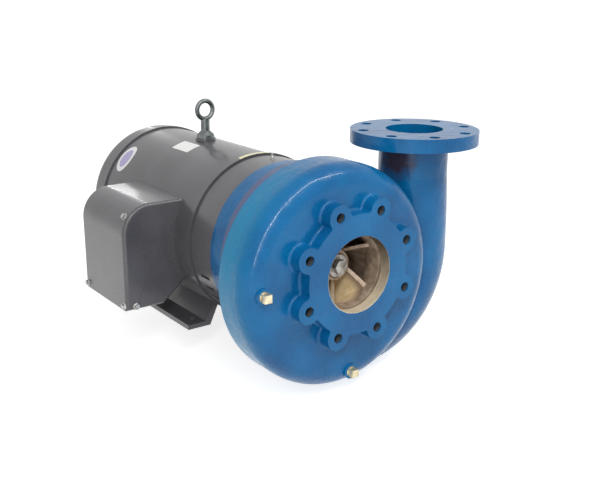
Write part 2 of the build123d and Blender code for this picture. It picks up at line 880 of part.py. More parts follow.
with BuildPart() as conduit_box_base:
    add(box_shell.part)
    split(bisect_by=split_plane, keep=Keep.BOTTOM)
    with BuildSketch(level_plane(box_bottom_z)):
        with Locations((-conduit_entry_x, box_middle_y)):
            Circle(conduit_entry_radius)
    extrude(amount=box_sheet, mode=Mode.SUBTRACT)

conduit_box_base.part.label = "conduit_box_base"
export_step(conduit_box_base.part, "parts/conduit_box_base.step")

# Lifting eye on its pad
pad_top_z = motor_radius + eye_pad_height
eye_place_y = motor_face_y + eye_y
flare_top_z = pad_top_z + eye_flare_height
cone_top_z = flare_top_z + eye_cone_height
eye_neck_top_z = eye_ring_height - eye_ring_radius

with BuildPart() as lifting_pad:
    with BuildSketch(level_plane(pad_top_z)):
        with Locations((0, eye_place_y)):
            Circle(eye_pad_radius)
    extrude(amount=-2 * eye_pad_height)
    with BuildSketch(cross_plane(eye_place_y - eye_pad_radius)):
        Circle(motor_radius)
    extrude(amount=-2 * eye_pad_radius, mode=Mode.SUBTRACT)

lifting_pad.part.label = "lifting_pad"
export_step(lifting_pad.part, "parts/lifting_pad.step")

with BuildPart() as eye_bolt:
    with BuildSketch(cross_plane(eye_place_y)):
        Polygon(
            (0, pad_top_z),
            (eye_flare_radius, pad_top_z),
            (eye_flare_radius, flare_top_z),
            (eye_shank_radius, cone_top_z),
            (eye_shank_radius, eye_neck_top_z),
            (0, eye_neck_top_z),
            align=None,
        )
    revolve(axis=Axis((0, eye_place_y, 0), (0, 0, 1)))
    with BuildSketch(level_plane(eye_ring_height)):
        with Locations((eye_ring_radius, eye_place_y)):
            Circle(eye_wire_radius)
    revolve(axis=Axis((0, eye_place_y, shaft_height + eye_ring_height), (0, 1, 0)))

eye_bolt.part.label = "eye_bolt"
export_step(eye_bolt.part, "parts/eye_bolt.step")

# Square-headed pipe plugs in the volute's front wall
with BuildPart() as side_plug:
    with BuildSketch(cross_plane(plug_face_y)):
        with Locations(plug_places[0]):
            Circle(plug_thread_radius)
    extrude(amount=-plug_thread_length)
    with BuildSketch(cross_plane(plug_face_y)):
        with Locations(plug_places[0]):
            Rectangle(plug_head_across, plug_head_across)
    extrude(amount=plug_head_length)

side_plug.part.label = "side_plug"
export_step(side_plug.part, "parts/side_plug.step")

with BuildPart() as drain_plug:
    with BuildSketch(cross_plane(plug_face_y)):
        with Locations(plug_places[1]):
            Circle(plug_thread_radius)
    extrude(amount=-plug_thread_length)
    with BuildSketch(cross_plane(plug_face_y)):
        with Locations(plug_places[1]):
            Rectangle(plug_head_across, plug_head_across)
    extrude(amount=plug_head_length)

drain_plug.part.label = "drain_plug"
export_step(drain_plug.part, "parts/drain_plug.step")

# Grease fitting on top of the drive-end shield
with BuildPart() as grease_fitting:
    with BuildSketch(level_plane(motor_radius)):
        with Locations((0, motor_face_y + grease_fitting_y)):
            Circle(grease_fitting_radius)
    extrude(amount=grease_fitting_height)

grease_fitting.part.label = "grease_fitting"
export_step(grease_fitting.part, "parts/grease_fitting.step")
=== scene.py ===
# %% [markdown]
# # Dressing a close-coupled pump
# The castings, the motor's shell and the turning parts come ready from the CAD model.
# This lesson gives each of them its finish, adds what a fitter would add at the bench,
# such as screws, labels and weld beads, and sets up a plain studio around the pump.

import math

import bmesh
import bpy
from mathutils import Matrix, Vector


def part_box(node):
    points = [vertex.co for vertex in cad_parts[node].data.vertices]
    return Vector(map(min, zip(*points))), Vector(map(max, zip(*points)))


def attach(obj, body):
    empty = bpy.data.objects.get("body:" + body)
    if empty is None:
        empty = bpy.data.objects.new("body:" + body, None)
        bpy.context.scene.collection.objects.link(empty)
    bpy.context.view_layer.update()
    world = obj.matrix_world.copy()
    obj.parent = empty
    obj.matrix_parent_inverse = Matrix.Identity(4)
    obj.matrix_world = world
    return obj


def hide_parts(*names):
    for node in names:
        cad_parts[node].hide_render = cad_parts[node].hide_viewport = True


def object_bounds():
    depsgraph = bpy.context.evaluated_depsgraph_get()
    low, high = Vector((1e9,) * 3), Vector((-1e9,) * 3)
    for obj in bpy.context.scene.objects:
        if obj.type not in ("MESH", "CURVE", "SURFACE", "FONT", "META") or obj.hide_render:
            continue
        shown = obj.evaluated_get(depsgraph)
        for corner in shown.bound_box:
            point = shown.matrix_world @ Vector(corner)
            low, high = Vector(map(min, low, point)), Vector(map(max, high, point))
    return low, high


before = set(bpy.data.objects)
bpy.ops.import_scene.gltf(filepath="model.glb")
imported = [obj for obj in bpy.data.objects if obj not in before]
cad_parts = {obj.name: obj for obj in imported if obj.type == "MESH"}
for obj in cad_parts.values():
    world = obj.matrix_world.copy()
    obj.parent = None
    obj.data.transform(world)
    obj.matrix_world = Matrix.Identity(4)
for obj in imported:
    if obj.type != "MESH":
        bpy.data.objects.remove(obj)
CAD_LOW, CAD_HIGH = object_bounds()
print("CAD box", [round(x, 3) for x in CAD_LOW], [round(x, 3) for x in CAD_HIGH])

# %% [markdown]
# Most places are measured from the shaft line, so the script reads it from the motor's
# barrel, which is round. Its box gives the shaft's height, the barrel's radius and its
# ends. The suction face is the lowest y of the volute. The places could be typed as
# plain numbers, but then the small pieces would stay behind when the castings change.

# %% Read the main places from the CAD
BARREL_LOW, BARREL_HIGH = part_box("motor_frame")
SHAFT_Z = (BARREL_LOW.z + BARREL_HIGH.z) / 2
RIM_RADIUS = (BARREL_HIGH.z - BARREL_LOW.z) / 2
RIM_HEIGHT = 0.003
BARREL_RADIUS = RIM_RADIUS - RIM_HEIGHT
SUCTION_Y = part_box("volute_casing")[0].y
print("shaft height", round(SHAFT_Z, 4), "barrel radius", round(BARREL_RADIUS, 4))

# %% [markdown]
# The camera stands to the left of the suction end and looks slightly down. It could be
# placed by eye. Here its place comes from the pump's own bolt circle and flange, whose
# real sizes are known, so that every edge falls where it should.

# %% Camera
CAMERA_PLACE = (-0.8653, -1.4301, 0.6132)
CAMERA_AZIMUTH = -36.52
CAMERA_ELEVATION = 17.19
CAMERA_ROLL = 0.39
CAMERA_LENS = 52.82

camera_data = bpy.data.cameras.new("camera")
camera_data.lens = CAMERA_LENS
camera_data.sensor_width = 36.0
camera_data.sensor_fit = "HORIZONTAL"
camera = bpy.data.objects.new("camera", camera_data)
bpy.context.scene.collection.objects.link(camera)
camera.matrix_world = (
    Matrix.Translation(CAMERA_PLACE)
    @ Matrix.Rotation(math.radians(CAMERA_AZIMUTH), 4, "Z")
    @ Matrix.Rotation(math.radians(90 - CAMERA_ELEVATION), 4, "X")
    @ Matrix.Rotation(math.radians(CAMERA_ROLL), 4, "Z")
)
bpy.context.scene.camera = camera
print("camera looks along", [round(-x, 3) for x in camera.matrix_world.col[2][:3]])

# %% [markdown]
# Nodes can be added and linked one by one, but shader maths reads best as plain
# expressions. A small class wraps a socket, and its operators add the Math nodes. A
# second class holds one finish: its material, its main shader, and one method that adds
# any other node.

# %% Sockets with operators
class Wire:
    """One output socket of a finish, which can be used in sums."""

    def __init__(self, finish, socket):
        self.finish = finish
        self.socket = socket

    def math(self, operation, first, second=0.0):
        return self.finish.node("Math", {"operation": operation}, {0: first, 1: second})

    def __add__(self, other):
        return self.math("ADD", self, other)

    def __radd__(self, other):
        return self.math("ADD", other, self)

    def __sub__(self, other):
        return self.math("SUBTRACT", self, other)

    def __rsub__(self, other):
        return self.math("SUBTRACT", other, self)

    def __mul__(self, other):
        return self.math("MULTIPLY", self, other)

    def __rmul__(self, other):
        return self.math("MULTIPLY", other, self)


# %% A finish
class Finish:
    """A material with one main shader."""

    def __init__(self, name):
        self.material = bpy.data.materials.new(name)
        self.material.use_nodes = True
        self.tree = self.material.node_tree
        self.shader = self.tree.nodes["Principled BSDF"]
        self.place = self.node("TexCoord", {}, {}, "Object")

    def node(self, kind, settings, sockets, output=0):
        node = self.tree.nodes.new("ShaderNode" + kind)
        for name, value in settings.items():
            setattr(node, name, value)
        for name, value in sockets.items():
            self.put(node.inputs[name], value)
        return Wire(self, node.outputs[output])

    def put(self, socket, value):
        if isinstance(value, Wire):
            self.tree.links.new(value.socket, socket)
        else:
            socket.default_value = value

    def set(self, **values):
        for name, value in values.items():
            self.put(self.shader.inputs[name.replace("_", " ").title()], value)

    def noise(self, size, detail=3.0, stretch=(1, 1, 1)):
        """Noise whose lumps are about size metres across, from 0 to 1."""
        place = self.node("VectorMath", {"operation": "MULTIPLY"}, {0: self.place, 1: stretch})
        return self.node("TexNoise", {}, {"Vector": place, "Scale": 1 / size, "Detail": detail})

    def blend(self, factor, first, second):
        """A colour between two colours."""
        colours = [(*c, 1) if isinstance(c, tuple) else c for c in (first, second)]
        sockets = {0: factor, 6: colours[0], 7: colours[1]}
        return self.node("Mix", {"data_type": "RGBA"}, sockets, 2)

    def range(self, value, low, high, to_low=0.0, to_high=1.0):
        """The value, stretched from one range to another and held inside it."""
        sockets = {"Value": value, "From Min": low, "From Max": high}
        sockets.update({"To Min": to_low, "To Max": to_high})
        return self.node("MapRange", {"clamp": True}, sockets)

    def bump(self, height, distance, under=None):
        """Raise the surface by height times a distance in metres."""
        sockets = {"Height": height, "Distance": distance, "Strength": 1.0}
        if under is not None:
            sockets["Normal"] = under
        return self.node("Bump", {}, sockets)

    def axes(self):
        """The place's own x, y and z."""
        split = self.node("SeparateXYZ", {}, {0: self.place}).socket.node
        return [Wire(self, socket) for socket in split.outputs]

    def distance(self, point):
        """How far the place is from a point."""
        return self.node("VectorMath", {"operation": "DISTANCE"}, {0: self.place, 1: point}, 1)

    def from_shaft(self):
        """How far the place is from the shaft line."""
        x, y, z = self.axes()
        up = z - SHAFT_Z
        return x.math("SQRT", x * x + up * up)


def dress(node_names, finish):
    """Give CAD nodes their finish."""
    for node_name in node_names:
        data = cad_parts[node_name].data
        data.materials.clear()
        data.materials.append(finish.material)
    print(finish.material.name, "on", ", ".join(node_names))


# %% [markdown]
# The volute and the bracket are sand castings under blue enamel. The coat is glossy and
# fills the sand's grain, but not the slow waves of the casting, so the bump has two
# scales. Real displacement would need millions of faces for a grain finer than a pixel.
# Round the rim and on the bracket, on their left side where the lamps fall, a greener and
# paler blue is painted light. The joint between volute and bracket is greyer, as painted
# shade in its recess, and it is found by its distance along the shaft.

# %% Blue enamel
BLUE_DEEP = (0.0003, 0.092, 0.255)
BLUE_FULL = (0.0005, 0.138, 0.345)
BLUE_LIT_SIDE = (0.0003, 0.215, 0.415)
GROOVE_SHADE = (0.095, 0.110, 0.215)
RUST_AND_SHADE = (0.050, 0.028, 0.034)
IRON_CUT = (0.92, 0.82, 0.62)
IRON_DULL = (0.62, 0.52, 0.37)
IRON_SCALE_AND_SHADE = (0.10, 0.075, 0.050)
JOINT_START = 0.145
JOINT_END = 0.1705
JOINT_RADIUS = 0.160
EDGE = 0.001


def enamel_colour(finish):
    """The coat's blue, with a greener painted light on the left of the volute's rim and a grey
    painted shade in the joint behind it.
    """
    x, y, z = finish.axes()
    drift = finish.range(finish.noise(0.08), 0.32, 0.68)
    blue = finish.blend(drift, BLUE_DEEP, BLUE_FULL)
    # Painted light: a greener, paler blue on the left side of the rim, where the lamps fall.
    rim = finish.range(finish.from_shaft() + 0.02 * finish.noise(0.05), 0.165, 0.195)
    left = finish.range(x, -0.02, -0.15)
    behind = finish.range(y, SUCTION_Y + 0.035, SUCTION_Y + 0.075)
    lit_rim = finish.blend(rim * left * behind * 0.9, blue, BLUE_LIT_SIDE)
    # Painted shade: grey in the recess of the joint between volute and bracket.
    joint = finish.range(y, SUCTION_Y + JOINT_START, SUCTION_Y + JOINT_START + EDGE)
    joint = joint * finish.range(y, SUCTION_Y + JOINT_END, SUCTION_Y + JOINT_END + EDGE, 1, 0)
    joint = joint * finish.range(finish.from_shaft(), JOINT_RADIUS, JOINT_RADIUS + 2 * EDGE, 1, 0)
    return finish.blend(joint * 0.9, lit_rim, GROOVE_SHADE)


# %% [markdown]
# A turned bore is the one place on the volute without enamel. It is cut after the
# casting is painted, so the coat ends in a slightly ragged line at the bore's edge. The
# bore could be a mesh of its own with its own material. A mask on the distance from the
# shaft needs no cut in the casting, and noise in that distance makes the ragged line.
# The bare iron is darker towards the top, scale together with painted shade, and lighter
# towards the bottom, painted light. Under the discharge flange a dark blot round one
# place on the neck is rust together with painted shade.

# %% Enamel with a bare bore
BORE_RADIUS = 0.0635
BORE_REACH = 0.038
NECK_PLACE = (0.162, SUCTION_Y + 0.100, SHAFT_Z + 0.155)


def blue_enamel(name):
    finish = Finish(name)
    x, y, z = finish.axes()
    grain = finish.noise(0.0040)
    waves = finish.noise(0.030, 2.0)
    chips = finish.noise(0.0035)
    ragged = finish.from_shaft() + 0.0022 * (chips - 0.5)
    bored = finish.range(ragged, BORE_RADIUS + 0.0004, BORE_RADIUS + 0.0009, 1, 0)
    bored = bored * finish.range(y, SUCTION_Y + BORE_REACH, SUCTION_Y + BORE_REACH + EDGE, 1, 0)
    lines = finish.noise(0.0012, 2.0, (0.05, 1.0, 0.05))
    clean = finish.blend(lines, IRON_DULL, IRON_CUT)
    # Darker towards the top of the bore, scale together with painted shade; lighter towards the
    # bottom, painted light.
    scale = finish.range(z + 0.03 * (finish.noise(0.01) - 0.5), SHAFT_Z - 0.050, SHAFT_Z + 0.045)
    cut = finish.blend(scale, clean, IRON_SCALE_AND_SHADE)
    # A dark blot under the discharge flange: rust together with painted shade.
    rust_and_shade_blot = finish.distance(NECK_PLACE) + 0.03 * finish.noise(0.018)
    rust_and_shade_blot = finish.range(rust_and_shade_blot, 0.034, 0.060, 0.92, 0)
    coat = finish.blend(rust_and_shade_blot, enamel_colour(finish), RUST_AND_SHADE)
    rough = finish.range(grain, 0.3, 0.7, 0.24, 0.36)
    slow = finish.bump(waves, 0.0030)
    finish.set(
        base_color=finish.blend(bored, coat, cut),
        roughness=finish.range(bored, 0, 1, rough, 0.42),
        metallic=bored * 0.35,
        coat_weight=0.25 - 0.25 * bored,
        normal=finish.bump(grain, 0.00005, slow),
    )
    finish.shader.inputs["Specular IOR Level"].default_value = 0.18
    finish.shader.inputs["Coat Roughness"].default_value = 0.08
    return finish


dress(("volute_casing", "bracket"), blue_enamel("blue_enamel"))

# %% [markdown]
# The motor is rolled and pressed steel under dark grey enamel. It is sprayed, so it has a
# fine orange-peel skin instead of a casting's waves, and it is a little duller. Dust
# that settles on its upper half makes it warmer there. Each shell could have a finish
# of its own, but one spray gun paints them all, so they share this one.

# %% Grey enamel
GREY_DEEP = (0.058, 0.056, 0.062)
GREY_FULL = (0.092, 0.089, 0.098)
GREY_WARM = (0.150, 0.155, 0.142)


def grey_enamel(name):
    finish = Finish(name)
    x, y, z = finish.axes()
    drift = finish.range(finish.noise(0.10), 0.3, 0.7)
    skin = finish.noise(0.0028, 2.0)
    dust = finish.noise(0.0040, 2.0)
    colour = finish.blend(drift, GREY_DEEP, GREY_FULL)
    settled = finish.range(dust, 0.55, 0.75) * finish.range(z, SHAFT_Z, SHAFT_Z + 0.15)
    finish.set(
        base_color=finish.blend(settled * 0.2, colour, GREY_WARM),
        roughness=finish.range(skin, 0.3, 0.7, 0.27, 0.34) + settled * 0.08,
        normal=finish.bump(skin, 0.00003),
        coat_weight=0.35,
    )
    finish.shader.inputs["Coat Roughness"].default_value = 0.13
    return finish


GREY_ENAMEL = grey_enamel("grey_enamel")
MOTOR_NODES = (
    "drive_end_shield",
    "motor_frame",
    "rear_end_shield",
    "motor_feet",
    "conduit_box_base",
    "conduit_box_cover",
    "lifting_pad",
)
dress(MOTOR_NODES, GREY_ENAMEL)

# %% [markdown]
# Bronze, brass and steel are bare. Metals differ mostly in colour and in how rough they
# are, so one recipe serves for all, and a turned surface gets a grain that is drawn out
# round the shaft. The anisotropic shader draws tool marks too, but stretched noise also
# shows on the small pieces that see no lamp.

# %% Bare metals
def bare_metal(name, dark, light, rough, grain_size, depth, shine=1.0, stretch=(1, 1, 1)):
    finish = Finish(name)
    patches = finish.range(finish.noise(grain_size * 7), 0.3, 0.7)
    grain = finish.noise(grain_size, 2.0, stretch)
    finish.set(
        base_color=finish.blend(patches, dark, light),
        roughness=finish.range(grain, 0.25, 0.75, rough, rough + 0.15),
        normal=finish.bump(grain, depth),
        metallic=shine,
    )
    return finish


TURNED = (0.06, 1.0, 0.06)
STEEL_DARK, STEEL_LIGHT = (0.36, 0.36, 0.35), (0.60, 0.60, 0.58)
SCREW_STEEL = bare_metal("zinc_steel", STEEL_DARK, STEEL_LIGHT, 0.30, 0.0012, 0.00003)
FORGED_DARK, FORGED_LIGHT = (0.09, 0.10, 0.10), (0.22, 0.24, 0.24)
FORGED_STEEL = bare_metal("forged_steel", FORGED_DARK, FORGED_LIGHT, 0.30, 0.002, 0.0001)
BARE = (
    (("wear_ring", "shaft_sleeve"), bare_metal(
        "turned_bronze", (0.55, 0.44, 0.27), (0.80, 0.69, 0.48), 0.28, 0.001, 0.00003, 0.7, TURNED)),
    (("side_plug", "drain_plug"), bare_metal(
        "plug_brass", (0.52, 0.42, 0.25), (0.86, 0.78, 0.55), 0.30, 0.0016, 0.00005, 0.7)),
    (("impeller_washer", "impeller_screw"), bare_metal(
        "stained_steel", (0.13, 0.11, 0.09), (0.46, 0.45, 0.43), 0.30, 0.0016, 0.00006)),
    (("shaft", "front_bearing", "rear_bearing"), bare_metal(
        "ground_steel", STEEL_DARK, STEEL_LIGHT, 0.22, 0.001, 0.00002, 1.0, TURNED)),
    (("rotor_core",), bare_metal(
        "cast_aluminium", (0.45, 0.45, 0.46), (0.66, 0.66, 0.67), 0.40, 0.0015, 0.0001)),
    (("stator_core",), bare_metal(
        "laminated_steel", (0.10, 0.10, 0.11), (0.20, 0.20, 0.22),
        0.45, 0.0006, 0.0002, 0.8, TURNED)),
    (("eye_bolt",), FORGED_STEEL),
)
for nodes, finish in BARE:
    dress(nodes, finish)

# %% [markdown]
# The impeller is cast bronze. Its low side, where the light falls, is painted golden as
# painted light, and the rest is brown as painted shade. This could be painted on by hand.
# Here it follows the distance from one place on the low side, which gives the same soft
# edge and can be moved with one value. A cast skin scatters light like a dull solid, so
# it is only partly metallic.

# %% Bronze with painted light and shade
LIT_PLACE = (0.018, SUCTION_Y + 0.085, SHAFT_Z - 0.066)
LIT_GOLD_DEEP, LIT_GOLD_PALE = (0.86, 0.66, 0.38), (1.00, 0.86, 0.58)
SHADED_BROWN_DEEP, SHADED_BROWN_PALE = (0.25, 0.18, 0.13), (0.52, 0.41, 0.31)


def lit_and_shaded_bronze():
    finish = Finish("lit_and_shaded_bronze")
    patches = finish.noise(0.012)
    grain = finish.noise(0.0022, 2.0)
    # Painted light: golden near the lit place, and brown as painted shade further from it.
    light_to_shade = finish.range(finish.distance(LIT_PLACE) + 0.02 * (patches - 0.5), 0.036, 0.050)
    gold = finish.blend(finish.range(patches, 0.3, 0.7), LIT_GOLD_DEEP, LIT_GOLD_PALE)
    brown = finish.blend(finish.range(patches, 0.3, 0.7), SHADED_BROWN_DEEP, SHADED_BROWN_PALE)
    finish.set(
        base_color=finish.blend(light_to_shade, gold, brown),
        roughness=finish.range(grain, 0.25, 0.75, 0.38, 0.52),
        normal=finish.bump(grain, 0.0004),
        metallic=0.3,
    )
    return finish


dress(("impeller",), lit_and_shaded_bronze())

# %% [markdown]
# Two small parts are neither enamelled nor bare. The windings are copper wire under
# brown varnish, and the wires show as fine ridges that run round the shaft. They could
# be curves, one for each wire, but only the narrow louvres let the eye in. The gasket is
# grey fibre sheet.

# %% Varnish and fibre
def varnished_wire():
    finish = Finish("varnished_wire")
    strands = finish.noise(0.0014, 1.0, (0.08, 1.0, 0.08))
    colour = finish.range(strands, 0.3, 0.7)
    colour = finish.blend(colour, (0.10, 0.025, 0.010), (0.36, 0.12, 0.04))
    ridges = finish.bump(strands, 0.0008)
    finish.set(base_color=colour, roughness=0.25, coat_weight=0.6, normal=ridges)
    return finish


def gasket_fibre():
    finish = Finish("gasket_fibre")
    fibres = finish.noise(0.0015, 4.0)
    colour = finish.blend(fibres, (0.10, 0.11, 0.20), (0.24, 0.25, 0.38))
    finish.set(base_color=colour, roughness=0.7, normal=finish.bump(fibres, 0.0002))
    return finish


dress(("stator_windings",), varnished_wire())
dress(("casing_gasket",), gasket_fibre())

# %% [markdown]
# New pieces are made in a mesh at the origin, along z, and then carried to their place
# by a matrix, so every piece's object stays at the origin. Three helpers do what all the
# pieces need: turning an outline, copying a pattern, and handing the piece in.

# %% Helpers for the new pieces
def turned(outline, steps):
    """A closed mesh, turned from an outline of (radius, height) round z."""
    mesh = bmesh.new()
    points = [mesh.verts.new((radius, 0, height)) for radius, height in outline]
    edges = [mesh.edges.new(pair) for pair in zip(points, points[1:])]
    bmesh.ops.spin(
        mesh, geom=points + edges, cent=(0, 0, 0), axis=(0, 0, 1),
        angle=2 * math.pi, steps=steps, use_merge=True,
    )
    bmesh.ops.remove_doubles(mesh, verts=mesh.verts, dist=1e-7)
    return mesh


def copies(pattern, places):
    """One mesh with a copy of the pattern at each place."""
    kept = bpy.data.meshes.new("pattern")
    pattern.to_mesh(kept)
    pattern.free()
    mesh = bmesh.new()
    for place in places:
        first = len(mesh.verts)
        mesh.from_mesh(kept)
        mesh.verts.ensure_lookup_table()
        bmesh.ops.transform(mesh, matrix=place, verts=mesh.verts[first:])
    bpy.data.meshes.remove(kept)
    return mesh


def hand_in(name, mesh, finish, body="pump_and_motor", smooth_angle=35):
    """Make the mesh a piece that rides on a body and takes its finish."""
    bmesh.ops.recalc_face_normals(mesh, faces=mesh.faces)
    data = bpy.data.meshes.new(name)
    mesh.to_mesh(data)
    mesh.free()
    data.shade_smooth()
    data.set_sharp_from_angle(angle=math.radians(smooth_angle))
    data.materials.append(finish.material)
    piece = bpy.data.objects.new(name, data)
    bpy.context.scene.collection.objects.link(piece)
    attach(piece, body)
    print(name, len(data.polygons), "faces")
    return piece


def facing(place, direction):
    """A matrix that carries z to a direction, at a place."""
    turn = Vector(direction).to_track_quat("Z", "Y").to_matrix().to_4x4()
    return Matrix.Translation(place) @ turn


# %% [markdown]
# The eight bosses are tapped for studs. A bump could hint at the thread, but a low light
# shows real crests better. A thread is a small triangle swept along a helix: spin takes
# a step along the axis with each step of its turn. The crests stand in the drilled hole,
# as they do after tapping, and a shallow cone closes the hole's end.

# %% Threads in the suction bosses
STUD_COUNT = 8
STUD_CIRCLE = 0.2159
STUD_START = 0.001
HOLE_RADIUS = 0.00835
THREAD_PITCH = 0.00254
THREAD_DEPTH = 0.0008
THREAD_TURNS = 9
THREAD_STEPS = 16
DRILL_END = ((0, 0.0262), (0.0083, 0.0242), (0.0083, 0.0266), (0, 0.0268))


def thread():
    mesh = bmesh.new()
    corners = (
        (HOLE_RADIUS + 0.0001, THREAD_PITCH * 0.96),
        (HOLE_RADIUS - THREAD_DEPTH, THREAD_PITCH * 0.5),
        (HOLE_RADIUS + 0.0001, THREAD_PITCH * 0.04),
    )
    face = mesh.faces.new([mesh.verts.new((radius, 0, height)) for radius, height in corners])
    bmesh.ops.spin(
        mesh, geom=[face], cent=(0, 0, 0), axis=(0, 0, 1),
        dvec=(0, 0, THREAD_PITCH / THREAD_STEPS),
        angle=2 * math.pi * THREAD_TURNS, steps=THREAD_STEPS * THREAD_TURNS,
    )
    drilled = turned(DRILL_END, THREAD_STEPS)
    kept = bpy.data.meshes.new("drilled")
    drilled.to_mesh(kept)
    drilled.free()
    mesh.from_mesh(kept)
    bpy.data.meshes.remove(kept)
    return mesh


def stud_places():
    for count in range(STUD_COUNT):
        angle = math.radians(360 / STUD_COUNT * (count + 0.5))
        x = STUD_CIRCLE / 2 * math.cos(angle)
        z = SHAFT_Z + STUD_CIRCLE / 2 * math.sin(angle)
        yield facing((x, SUCTION_Y + STUD_START, z), (0, 1, 0))


# Painted shade: the oiled iron is darkened to near black, as the deep holes lie in shade.
OIL_SHADE_DARK, OIL_SHADE_PALE = (0.006, 0.007, 0.008), (0.030, 0.028, 0.026)
DARK_THREAD = bare_metal("oiled_iron_painted_shade", OIL_SHADE_DARK, OIL_SHADE_PALE, 0.50, 0.001, 0.00004, 0.2)
hand_in("stud_threads", copies(thread(), stud_places()), DARK_THREAD)

# %% [markdown]
# The conduit box's cover overlaps its base with a folded lip. It could be drawn anew,
# but it follows the cover's own edge, so it starts as a copy of the cover: cut to a
# narrow band along the slanting joint, closed, and pushed out along its normals.

# %% Lip of the box's cover
JOINT_PLACE = Vector((-0.137, 0, SHAFT_Z + 0.055))
JOINT_NORMAL = Vector((-0.166, 0, 0.085)).normalized()
LIP_WIDTH = 0.0055
LIP_STAND = 0.0009


def cover_lip():
    mesh = bmesh.new()
    mesh.from_mesh(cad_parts["conduit_box_cover"].data)
    bmesh.ops.remove_doubles(mesh, verts=mesh.verts, dist=1e-6)
    bmesh.ops.bisect_plane(
        mesh, geom=mesh.verts[:] + mesh.edges[:] + mesh.faces[:],
        plane_co=JOINT_PLACE + JOINT_NORMAL * LIP_WIDTH, plane_no=JOINT_NORMAL, clear_outer=True,
    )
    bmesh.ops.holes_fill(mesh, edges=mesh.edges)
    bmesh.ops.recalc_face_normals(mesh, faces=mesh.faces)
    mesh.normal_update()
    moves = [(corner, corner.normal.copy()) for corner in mesh.verts]
    for corner, outward in moves:
        corner.co += outward * LIP_STAND
    return mesh


hand_in("cover_lip", cover_lip(), GREY_ENAMEL)

# %% [markdown]
# Four screws hold the cover. Each has a six-sided head with a washer face and a slot.
# A boolean could cut the slot, but it often leaves thin faces, so two bisecting planes
# part the head's top and an extrude pushes the strip between them down.

# %% Screws of the box's cover
HEAD_ACROSS = 0.0085
HEAD_HEIGHT = 0.0038
WASHER_RADIUS = 0.0062
WASHER_HEIGHT = 0.0013
SLOT_WIDTH = 0.0014
SLOT_DEPTH = 0.0016


def screw_head():
    mesh = turned(((0, -0.0004), (WASHER_RADIUS, -0.0004), (WASHER_RADIUS, WASHER_HEIGHT * 0.6),
                   (WASHER_RADIUS - 0.0007, WASHER_HEIGHT), (0, WASHER_HEIGHT)), 28)
    start = len(mesh.verts)
    middle = Matrix.Translation((0, 0, WASHER_HEIGHT + HEAD_HEIGHT / 2))
    radius = HEAD_ACROSS / math.sqrt(3)
    bmesh.ops.create_cone(
        mesh, cap_ends=True, segments=6, radius1=radius, radius2=radius,
        depth=HEAD_HEIGHT, matrix=middle,
    )
    mesh.verts.ensure_lookup_table()
    head = set(mesh.verts[start:])
    top = WASHER_HEIGHT + HEAD_HEIGHT
    high = {corner for corner in head if corner.co.z > top - 1e-5}
    rim = [edge for edge in mesh.edges if set(edge.verts) <= high]
    bmesh.ops.bevel(
        mesh, geom=rim, offset=0.0006, segments=2, profile=0.5, affect="EDGES", material=-1,
    )
    for side in (-SLOT_WIDTH / 2, SLOT_WIDTH / 2):
        top_faces = [
            face for face in mesh.faces
            if face.normal.z > 0.99 and face.calc_center_median().z > top - 1e-5
        ]
        edges = {edge for face in top_faces for edge in face.edges}
        corners = {corner for face in top_faces for corner in face.verts}
        bmesh.ops.bisect_plane(
            mesh, geom=list(corners) + list(edges) + top_faces,
            plane_co=(side, 0, 0), plane_no=(1, 0, 0),
        )
    middles = {face: face.calc_center_median() for face in mesh.faces}
    strip = [
        face for face, middle in middles.items()
        if middle.z > top - 1e-5 and abs(middle.x) < SLOT_WIDTH / 2
    ]
    raised = bmesh.ops.extrude_face_region(mesh, geom=strip)
    floor = [item for item in raised["geom"] if isinstance(item, bmesh.types.BMVert)]
    bmesh.ops.translate(mesh, verts=floor, vec=(0, 0, -SLOT_DEPTH))
    return mesh


# %% [markdown]
# Two screws stand low on the box's outer side, one on its rounded shoulder and one on
# its front. Their places are measured from the cover's box, and each points away from
# the sheet that it stands on.

# %% Places of the screws
BOX_LOW, BOX_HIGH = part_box("conduit_box_cover")
BOX_CORNER = 0.054
SCREW_INSET = 0.009
SHOULDER_DEGREES = 38
screw_low = BOX_LOW.z + SCREW_INSET
screw_front = BOX_LOW.y + SCREW_INSET
curve_turn = math.radians(SHOULDER_DEGREES)
curve_out = (-math.cos(curve_turn), 0, math.sin(curve_turn))
curve_middle = Vector((BOX_LOW.x + BOX_CORNER, screw_front + 0.005, BOX_HIGH.z - BOX_CORNER))
SCREW_PLACES = (
    facing((BOX_LOW.x, screw_front, screw_low), (-1, 0, 0)),
    facing((BOX_LOW.x, BOX_HIGH.y - SCREW_INSET, screw_low), (-1, 0, 0)),
    facing(curve_middle + Vector(curve_out) * BOX_CORNER, curve_out),
    facing((BOX_LOW.x + 0.019, BOX_LOW.y, screw_low - 0.002), (0, -1, 0)),
)
hand_in("cover_screws", copies(screw_head(), SCREW_PLACES), SCREW_STEEL)

# %% [markdown]
# The grease fitting on the drive end is a six-sided nut with a turned neck and a ball
# tip. All of it but the nut is round, so it is spun from one outline, and a cone with six
# sides makes the nut. It stands where the plain CAD pin stands, and replaces it.

# %% Grease fitting
NUT_RADIUS = 0.0044
NUT_HEIGHT = 0.0030
fitting_low, fitting_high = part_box("grease_fitting")
FITTING_SCALE = (fitting_high.z - fitting_low.z) / 0.009


